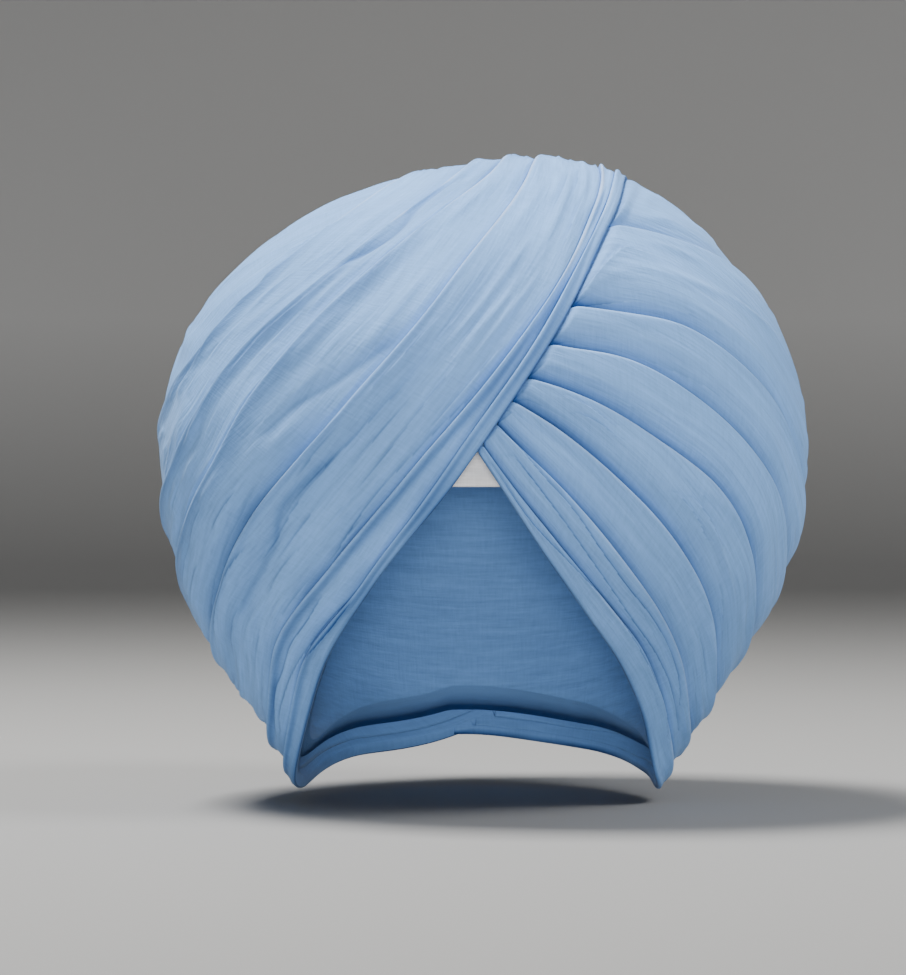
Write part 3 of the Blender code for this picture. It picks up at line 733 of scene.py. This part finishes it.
def build_lap(lap, family, outer, stations, tails, noses, covered, ahead, limits, seed, material):
    # One lap as a closed mesh. tails, noses and limits are angles, covered marks the sections that
    # run on under the left family's edge, and ahead is the room behind the tail.
    name, crest, nose, count, lip = lap
    way = np.sign(noses - tails)
    span = np.abs(noses - tails)
    length = as_length(span)[:, None]
    distance = across_places(count, span)
    across = distance / length
    ahead_way = length - distance
    tail_kind = {"left": "edge", "right": "rim"}[family] if outer == "edge" else "tail"
    depth = crevice_depth(family, outer, stations, seed)
    crests = crest * LAP_CREST * (1.0 + 0.03 * wave(stations, seed + 90, 3, 10))
    room = np.clip(length[:, 0] / COVERED_ROOM, 0.0, 1.0)
    crests = np.where(covered, UNDER_EDGE + (crests - UNDER_EDGE) * room, crests)
    ease = np.zeros_like(depth)
    if family == "left":
        off_top = np.abs(one_turn(stations)[:, None] - TOP_BEARING) / TOP_REACH
        ease = np.exp(-off_top ** 4)
        crests = crests * (1.0 - TOP_FLATTER * ease[:, 0])
    height = lap_height(distance, span, crests[:, None], depth, tail_kind, ease, lip)
    # The nose is rolled under, less so over the top.
    radius = np.minimum(nose * MM, 0.35 * length)
    blunt = np.minimum(0.5 * crests[:, None], 1.3 * radius) * (1.0 - 0.6 * ease)
    rolled = height - blunt * (1.0 - quarter_round(ahead_way, radius))
    height = np.where(covered[:, None], height, rolled)
    angles = tails[:, None] + way[:, None] * np.degrees(distance / HALF_WIDTH)
    ahead_edge = None
    if limits is not None:
        ahead_edge = as_length(limits[:, None] - angles)
        fall = 1.0 - (1.0 - np.clip(ahead_edge / DIVE_LENGTH, 0.0, 1.0)) ** 2
        height = np.minimum(height, UNDER_EDGE + np.maximum(height - UNDER_EDGE, 0.0) * fall)
    relief, low_side = running_relief(name, stations, across, span, seed)
    seen, seen_low_side = seen_relief(family, stations, angles)
    relief += broad_relief(stations, across, seed + 50) + seen
    low_side += seen_low_side
    free = np.clip((distance / MM - 0.4) / 1.2, 0.0, 1.0)
    free = free * np.clip(ahead_way / (1.2 * MM), 0.0, 1.0)
    room = np.clip(length / RELIEF_ROOM, 0.3, 1.0)
    height = height + relief * free * room
    hidden_angles, hidden_heights = hidden_side(tails, span, way, ahead, covered, tail_kind)
    all_angles = np.concatenate((angles, hidden_angles), axis=1)
    all_heights = np.concatenate((height, hidden_heights), axis=1)
    grid = np.broadcast_to(stations[:, None], all_angles.shape)
    direction = left_direction if family == "left" else right_direction
    round_share = LEFT_ROUND if family == "left" else RIGHT_ROUND
    points = place(direction(grid, all_angles), all_heights)
    steps = as_length(np.abs(all_angles - tails[:, None]))
    lay = round_lay(grid, round_share, steps + LAY_SHIFT * seed)
    tone, highlight = lap_tone(family, distance, ahead_way, depth, ease, lip, low_side, ahead_edge)
    # A painted highlight on the nose, where the nose shows
    tone = tone + np.where(covered[:, None], 0.0, highlight)
    # The hidden sides take an even painted shade
    tone = np.concatenate((tone, np.full_like(hidden_heights, HIDDEN_TONE)), axis=1)
    item = grid_mesh(name + "_cloth", points, lay, tone, family == "left", True, material)
    dress(item, name)


def visible_span(name):
    # The first and last turn at which a right fold line shows below the left edge.
    turns = np.linspace(*RIGHT_SPAN)
    clear = right_line(name, turns) < edge_height_at(turns) - as_angle(LAP_GAP)
    return turns[clear][0], turns[clear][-1]


def new_material(name):
    material = bpy.data.materials.new(name)
    material.use_nodes = True
    tree = material.node_tree
    return material, tree, tree.nodes["Principled BSDF"]


def feed(tree, node, values):
    # Sets sockets to numbers or colours, or links other nodes' sockets to them.
    for key, value in values.items():
        if isinstance(value, bpy.types.NodeSocket):
            tree.links.new(value, node.inputs[key])
        else:
            node.inputs[key].default_value = value


def add_node(tree, kind, values, **settings):
    node = tree.nodes.new(kind)
    for key, value in settings.items():
        setattr(node, key, value)
    feed(tree, node, values)
    return node


def blend(tree, factor, first, second):
    values = {"Factor": factor, "A": first, "B": second}
    return add_node(tree, "ShaderNodeMix", values, data_type="RGBA").outputs["Result"]


def ranged(tree, value, start, stop, low=0.0, high=1.0):
    values = {"Value": value, "From Min": start, "From Max": stop, "To Min": low, "To Max": high}
    return add_node(tree, "ShaderNodeMapRange", values).outputs["Result"]


# Colours of the cloth and the band with their deep colours for painted shade, and how far the
# painted highlight on the noses goes towards white
BLUE = (0.205, 0.410, 0.790, 1.0)
DEEP_BLUE = (0.010, 0.060, 0.22, 1.0)
WHITE = (0.92, 0.905, 0.89, 1.0)
DEEP_WHITE = (0.70, 0.70, 0.70, 1.0)
PALER = 0.36
PALEST_TONE = 1.3
# Noises: how many waves to a metre along the laps and across them, and their detail
THREAD_WAVES = (90.0, 140.0)
SLUBS = (28.0, 520.0, 4.0)
CLOUDS = (9.0, 150.0, 3.0)
# Brightness from the weave, from two values to two, and from the clouds, times and more
THREAD_SPREAD = (0.34, 0.66, 0.86, 1.13)
CLOUD_SPREAD = (0.30, 0.85)
SHEEN_TINT = (0.70, 0.85, 1.0, 1.0)
# Threads' length in metres, and the sheen's weight
VOILE = (0.0010, 0.12)
BAND_COTTON = (0.0006, 0.1)


def cloth_material(name, colour, deep, thread, sheen):
    # Plain-weave cotton: threads both ways, slubs, slow clouds and a soft sheen. The painted tone
    # goes from the deep colour of painted shade at 0 to the cloth's own at 1 and to a paler painted
    # highlight above.
    material, tree, shader = new_material(name)
    lay = add_node(tree, "ShaderNodeAttribute", {}, attribute_name="lay").outputs["Vector"]
    tone = add_node(tree, "ShaderNodeAttribute", {}, attribute_name="tone").outputs["Fac"]

    def stretched(along, across, detail):
        mapping = add_node(
            tree, "ShaderNodeMapping", {"Vector": lay, "Scale": (along, along, across)})
        values = {"Vector": mapping.outputs["Vector"], "Scale": 1.0, "Detail": detail}
        values["Roughness"] = 0.55
        return add_node(tree, "ShaderNodeTexNoise", values).outputs["Fac"]

    def maths(operation, first, second):
        values = {0: first, 1: second}
        return add_node(tree, "ShaderNodeMath", values, operation=operation).outputs["Value"]

    def scaled(value, times, more):
        return maths("ADD", maths("MULTIPLY", value, times), more)

    weft = stretched(THREAD_WAVES[0], 1.0 / thread, 2.0)
    warp = stretched(1.0 / thread, THREAD_WAVES[1], 2.0)
    weave = scaled(weft, 0.6, maths("MULTIPLY", warp, 0.4))
    weave = scaled(weave, 0.6, maths("MULTIPLY", stretched(*SLUBS), 0.4))
    pale = tuple(value + PALER * (1.0 - value) for value in colour[:3]) + (1.0,)
    base = blend(tree, ranged(tree, tone, 0.0, 1.0), deep, colour)
    base = blend(tree, ranged(tree, tone, 1.0, PALEST_TONE), base, pale)
    spread = ranged(tree, weave, *THREAD_SPREAD)
    amount = maths("MULTIPLY", scaled(stretched(*CLOUDS), *CLOUD_SPREAD), spread)
    tint = add_node(tree, "ShaderNodeHueSaturation", {"Value": amount, "Color": base})
    bump = add_node(
        tree, "ShaderNodeBump", {"Strength": 0.8, "Distance": 0.0008, "Height": weave})
    feed(tree, shader, {
        "Base Color": tint.outputs["Color"],
        "Roughness": scaled(weave, 0.18, 0.72),
        "Normal": bump.outputs["Normal"],
        "Sheen Weight": sheen,
        "Sheen Roughness": 0.45,
        "Sheen Tint": SHEEN_TINT,
        "Specular IOR Level": 0.12,
    })
    return material


def left_bearings():
    return np.arange(LEFT_STATIONS) * 360.0 / LEFT_STATIONS


def make_left(material):
    bearings = left_bearings()
    names = list(LEFT_FOLDS)
    nowhere = np.zeros(len(bearings), bool)
    for number, (name, outer, inner, crest, nose, count, lip) in enumerate(LEFT_LAPS):
        tails = left_line(outer, bearings)
        noses = left_line(inner, bearings)
        before = left_line(names[max(names.index(outer) - 1, 0)], bearings)
        lap = (name, crest, nose, count, lip)
        build_lap(lap, "left", outer, bearings, tails, noses, nowhere, np.abs(before - tails),
                  None, 100 + 11 * number, material)


# The left crown cap. Folds of the last turn run straight across it, one behind the other along
# CAP_FOLD_WAY, given as shares of LEFT_LOW and FRONT. Each fold has its place that way as a share
# of the half width, and its height and width in millimetres.
CAP_FOLD_WAY = (0.39, 0.92)
CAP_POINTS = 72
CAP_CREST = 0.62
CAP_BED = (0.0, 0.26, 0.52, 0.78)
CAP_HIDDEN_SHADE = 0.35
CAP_FOLDS = (
    # place, height, width
    (0.46, 0.7, 5.0),
    (0.36, 0.9, 7.0),
    (0.22, 0.8, 6.0),
    (0.13, 1.0, 8.0),
    (0.02, 0.8, 7.0),
    (-0.08, 1.0, 8.0),
    (-0.20, 0.8, 6.0),
    (-0.31, 0.9, 8.0),
    (-0.45, 0.8, 7.0),
    (-0.58, 0.7, 6.0),
)


def cap_places(directions):
    # Places behind each other and along the cap's folds.
    behind = directions @ (CAP_FOLD_WAY[0] * LEFT_LOW + CAP_FOLD_WAY[1] * FRONT)
    along = directions @ (CAP_FOLD_WAY[1] * LEFT_LOW - CAP_FOLD_WAY[0] * FRONT)
    return behind, along


def make_left_crown(material):
    # The cap that closes the left family, from its rim to its middle and back underneath.
    bearings = left_bearings()
    rims = left_line("rear", bearings)
    distance = across_places(CAP_POINTS, rims)
    across = distance / as_length(rims)[:, None]
    crest = np.full((LEFT_STATIONS, 1), CAP_CREST * LAP_CREST)
    depth = np.clip(0.14 + 0.12 * wave(bearings, 340, 2, 6), 0.0, 0.5)[:, None]
    height = lap_height(distance, rims, crest, depth, "tail")
    angles = rims[:, None] * (1.0 - across)
    grid = np.broadcast_to(bearings[:, None], angles.shape)
    behind, along = cap_places(left_direction(grid, angles))
    relief = broad_relief(bearings, across, 350) + seen_relief("left", bearings, angles)[0]
    for number, (spot, size, width) in enumerate(CAP_FOLDS):
        bend = 0.03 * np.sin(9.0 * along + 2.1 * number) + 0.10 * along ** 2
        fold = fold_shape("fold", (behind - spot - bend) * HALF_WIDTH, size, width) * MM
        relief += 1.5 * fold * np.clip(0.75 + 0.5 * np.sin(7.0 * along + 1.3 * number), 0.2, 1.0)
    height = height + relief * np.clip(distance / (2.2 * MM), 0.0, 1.0)
    tuck = as_angle(TUCK_LENGTH) * (1.0 - LAP_GAP / VALLEY_HEIGHT)
    under = np.stack([rims * share for share in CAP_BED] + [rims + tuck], axis=1)
    all_angles = np.concatenate((angles, under), axis=1)
    all_heights = np.concatenate((height, np.zeros_like(under)), axis=1)
    grid = np.broadcast_to(bearings[:, None], all_angles.shape)
    directions = left_direction(grid, all_angles)
    points = place(directions, all_heights)
    shade = depth * np.exp(-distance / (2.5 * MM))
    shade = np.concatenate((shade, np.full_like(under, CAP_HIDDEN_SHADE)), axis=1)
    tone = np.clip(1.0 - shade, 0.0, 1.0)
    behind, along = cap_places(directions * HALF_WIDTH)
    lay = np.stack((along, np.zeros_like(along), behind), axis=-1)
    item = grid_mesh("left_crown_lap_cloth", points, lay, tone, True, True, material, True)
    dress(item, "left_crown_lap")


def make_right(material):
    names = list(RIGHT_FOLDS)
    for number, (name, lower, upper, crest, nose, count) in enumerate(RIGHT_LAPS):
        first, last = visible_span(lower)
        turns = np.linspace(first + 0.1, last - 0.1, int((last - first) / RIGHT_STEP))
        limits = edge_height_at(turns)
        lows = right_line(lower, turns)
        highs = right_line(upper, turns) if upper else np.full(len(turns), 180.0)
        ends = np.maximum(np.minimum(highs, limits), lows + 0.05)
        below = right_line(names[max(names.index(lower) - 1, 0)], turns)
        lap = (name, crest, nose, count, USUAL_LIP)
        build_lap(lap, "right", lower, turns, lows, ends, highs > limits, np.abs(lows - below),
                  limits, 500 + 11 * number, material)


def wall_edge(turns):
    # Height angle of the inner wrap's open rim, a little inside the laps' lowest edges.
    recess = as_angle(RIM_RECESS)
    past_back = np.where(turns < 0.0, turns + 360.0, turns)
    row = smooth_row(past_back, RIGHT_TURNS, RIGHT_FOLDS["edge"])
    right = np.where(past_back < RIGHT_SPAN[1], row, ZENITH)
    before_back = np.where(turns > 90.0, turns - 360.0, turns)
    left = edge_height_at(before_back, True)
    right_only = (turns >= 0.0) & (turns < BACK_CROSSING)
    height = np.where(right_only, right, np.minimum(left, right))
    return np.minimum(height, RIGHT_FOLDS["edge"][1]) + recess


def ring_turns(count):
    return -180.0 + (np.arange(count) + 0.5) * 360.0 / count


# The inner wrap: its sections, its points outside and inside, and its layers round the head, by
# height angle, with the height and width of their steps in millimetres
WALL_SECTIONS = 288
WALL_OUTSIDE = 14
WALL_INSIDE = 90
LAYERS = 9
LOWEST_LAYER = -52.0
LAYER_STEP = 14.0
LAYER_FOLD = (0.9, 9.0)
MEAN_LAYER = 0.0009


def make_inner_wrap(material):
    # The wound turns inside, one thick wall whose inner side shows the layers round the head.
    turns = ring_turns(WALL_SECTIONS)
    rim = wall_edge(turns)
    inner_shares = np.linspace(0.0, 1.0, WALL_INSIDE)
    outer_heights = rim[:, None] + (ZENITH - rim)[:, None] * np.linspace(1.0, 0.0, WALL_OUTSIDE)
    inner_heights = rim[:, None] + (ZENITH - rim)[:, None] * inner_shares
    grid = np.broadcast_to(turns[:, None], outer_heights.shape)
    outer = place(right_direction(grid, outer_heights), np.full(grid.shape, -BED_GAP))
    grid = np.broadcast_to(turns[:, None], inner_heights.shape)
    directions = right_direction(grid, inner_heights)
    wall = reach(directions, FORM) - BED_GAP
    radius = np.minimum(reach(directions, HEAD), wall - RIM_WALL)
    layers = np.zeros_like(radius)
    for number in range(LAYERS):
        line = LOWEST_LAYER + LAYER_STEP * number + 3.0 * wave(turns, 700 + number, 1, 5)
        distance = as_length(inner_heights - line[:, None]) * RIGHT_ROUND
        layers += fold_shape("fold", distance, *LAYER_FOLD) * MM
    ease = np.clip(inner_shares / 0.04, 0.0, 1.0) * np.clip((1.0 - inner_shares) / 0.2, 0.0, 1.0)
    radius = radius + (MEAN_LAYER - layers) * ease
    inner = directions * radius[..., None]
    points = np.concatenate((outer, inner), axis=1)
    length = np.concatenate((outer_heights, 2.0 * ZENITH - inner_heights), axis=1)
    along = np.broadcast_to(turns[:, None], length.shape)
    # The inner wrap takes an even painted shade, inside and out
    tone = np.full(length.shape, INNER_TONE)
    lay = round_lay(along, RIGHT_ROUND, as_length(length))
    item = grid_mesh("inner_wrap_cloth", points, lay, tone, True, False, material, True)
    dress(item, "inner_wrap")


BAND_SECTIONS = 240


def band_outline():
    # The band's section, as heights and places inward from its middle: outside a hem with a seam
    # over it, and then the plain inside.
    outline = [(0.0, 0.0), (0.0004, -0.0003)]
    for height in np.linspace(0.0012, BAND_HEIGHT, 44):
        swell = 0.0005 * math.exp(-((height - 0.0035) / 0.0022) ** 2)
        seam = 0.0004 * math.exp(-((height - 0.0068) / 0.0004) ** 2)
        outline.append((height, -BAND_HALF_THICKNESS - swell + seam))
    for height in (BAND_HEIGHT, BAND_HEIGHT * 0.5, 0.0003):
        outline.append((height, BAND_HALF_THICKNESS))
    return np.array(outline)


def make_under_band(material):
    # A plain strip round the head with a stitched hem along its lower edge.
    turns = np.radians(ring_turns(BAND_SECTIONS))
    outline = band_outline()
    share = np.sqrt(1.0 - (outline[:, 0] / HEAD_RISE) ** 2)
    depth = np.where(np.cos(turns) > 0, HEAD_FRONT_DEPTH, HEAD_BACK_DEPTH)
    across = np.sin(turns)[:, None] / (HEAD_HALF_WIDTH * share)
    along = np.cos(turns)[:, None] / (depth[:, None] * share)
    pucker = 0.00012 * wave(np.degrees(turns), 801, 20, 60)[:, None]
    radius = 1.0 / np.hypot(across, along) - BAND_INSET - outline[:, 1] + pucker
    heights = np.broadcast_to(outline[:, 0], radius.shape)
    points = np.stack(
        (radius * np.sin(turns)[:, None], -radius * np.cos(turns)[:, None], heights), axis=-1)
    tone = np.full(radius.shape, 1.0)
    around = np.broadcast_to(np.degrees(turns)[:, None], radius.shape)
    lay = round_lay(around, BAND_ROUND, heights)
    item = grid_mesh("under_band_cloth", points, lay, tone, True, True, material)
    dress(item, "under_band")


# The stage: the floor's radius and depth under the turban, the backdrop's sweep and height, and
# the heights between which the floor's grey goes over into the wall's
FLOOR_RADIUS = 3.2
FLOOR_DROP = 0.004
SWEEP = 1.2
SWEEP_STEPS = 12
WALL_TOP = 6.0
STAGE_SIDES = 64
WALL_START = -0.10
WALL_FULL = 0.25
FLOOR_GREY = (0.32, 0.317, 0.312, 1.0)
WALL_GREY = (0.66, 0.655, 0.645, 1.0)


def stage_material():
    # Plain paper, a little cloudy, darker on the floor than on the wall.
    material, tree, shader = new_material("floor_paper")
    noise = add_node(tree, "ShaderNodeTexNoise", {"Scale": 3.0, "Detail": 2.0})
    darker = tuple(value * 0.94 for value in FLOOR_GREY[:3]) + (1.0,)
    floor = blend(tree, noise.outputs["Fac"], FLOOR_GREY, darker)
    spot = add_node(tree, "ShaderNodeNewGeometry", {}).outputs["Position"]
    height = add_node(tree, "ShaderNodeSeparateXYZ", {"Vector": spot}).outputs["Z"]
    colour = blend(tree, ranged(tree, height, WALL_START, WALL_FULL), floor, WALL_GREY)
    feed(tree, shader, {"Base Color": colour, "Roughness": 0.9, "Specular IOR Level": 0.1})
    return material


def make_stage():
    # A pale round floor that sweeps up into a plain backdrop on every side.
    level = CAD_BOX[0][2] - FLOOR_DROP
    profile = [(0.0, 0.0), (FLOOR_RADIUS, 0.0)]
    for step in range(1, SWEEP_STEPS + 1):
        turn = math.radians(step * 90.0 / SWEEP_STEPS)
        out = FLOOR_RADIUS + SWEEP * math.sin(turn)
        profile.append((out, SWEEP - SWEEP * math.cos(turn)))
    profile.append((FLOOR_RADIUS + SWEEP, WALL_TOP))
    points = []
    for radius, rise in profile:
        for side in range(STAGE_SIDES):
            turn = 2.0 * math.pi * side / STAGE_SIDES
            points.append((radius * math.cos(turn), radius * math.sin(turn), level + rise))
    faces = []
    for ring in range(len(profile) - 1):
        here = ring * STAGE_SIDES
        there = here + STAGE_SIDES
        for side in range(STAGE_SIDES):
            other = (side + 1) % STAGE_SIDES
            faces.append((here + side, there + side, there + other, here + other))
    mesh = bpy.data.meshes.new("floor")
    mesh.from_pydata(points, [], faces)
    mesh.shade_smooth()
    mesh.materials.append(stage_material())
    add_object("floor", mesh)


# Soft boxes: where they hang, where they aim, their sides in metres, watts and colour
LIGHTS = (
    # name, place, target, sides, watts, colour
    ("key", (-0.50, 0.12, 1.55), (0.0, 0.0, 0.05), (0.6, 0.45), 60.0, (1.0, 0.99, 0.97)),
    ("right", (1.2, -0.5, 1.30), (0.0, 0.0, 0.0), (0.7, 0.7), 22.0, (0.98, 0.99, 1.0)),
    ("low", (0.0, -1.9, -0.02), (0.0, 0.0, 0.02), (0.4, 0.2), 21.0, (1.0, 0.99, 0.98)),
)
SKY_COLOUR = (0.80, 0.82, 0.85, 1.0)
SKY_STRENGTH = 0.34


def make_lights():
    for name, spot, target, sides, watts, colour in LIGHTS:
        data = bpy.data.lights.new(name, "AREA")
        data.shape = "RECTANGLE"
        data.size, data.size_y = sides
        data.energy = watts
        data.color = colour
        item = add_object(name, data)
        item.location = spot
        item.rotation_euler = (Vector(target) - Vector(spot)).to_track_quat("-Z", "Y").to_euler()
    world = bpy.data.worlds.new("studio")
    bpy.context.scene.world = world
    world.use_nodes = True
    back = world.node_tree.nodes["Background"]
    feed(world.node_tree, back, {"Color": SKY_COLOUR, "Strength": SKY_STRENGTH})


def make_camera():
    # Level, from straight ahead, and the photograph's height of picture at the origin.
    data = bpy.data.cameras.new("camera")
    data.sensor_width = SENSOR
    data.lens = SENSOR * -CAMERA_PLACE[1] / (PICTURE_HIGH * METRES_A_PIXEL)
    data.clip_start = 0.1
    data.clip_end = 20.0
    item = add_object("camera", data)
    item.location = CAMERA_PLACE
    item.rotation_euler = (math.radians(90.0), 0.0, 0.0)
    bpy.context.scene.camera = item


def main():
    blue = cloth_material(BLUE_SLOT, BLUE, DEEP_BLUE, *VOILE)
    white = cloth_material(WHITE_SLOT, WHITE, DEEP_WHITE, *BAND_COTTON)
    make_left(blue)
    make_left_crown(blue)
    make_right(blue)
    make_inner_wrap(blue)
    make_under_band(white)
    make_stage()
    make_lights()
    make_camera()


main()
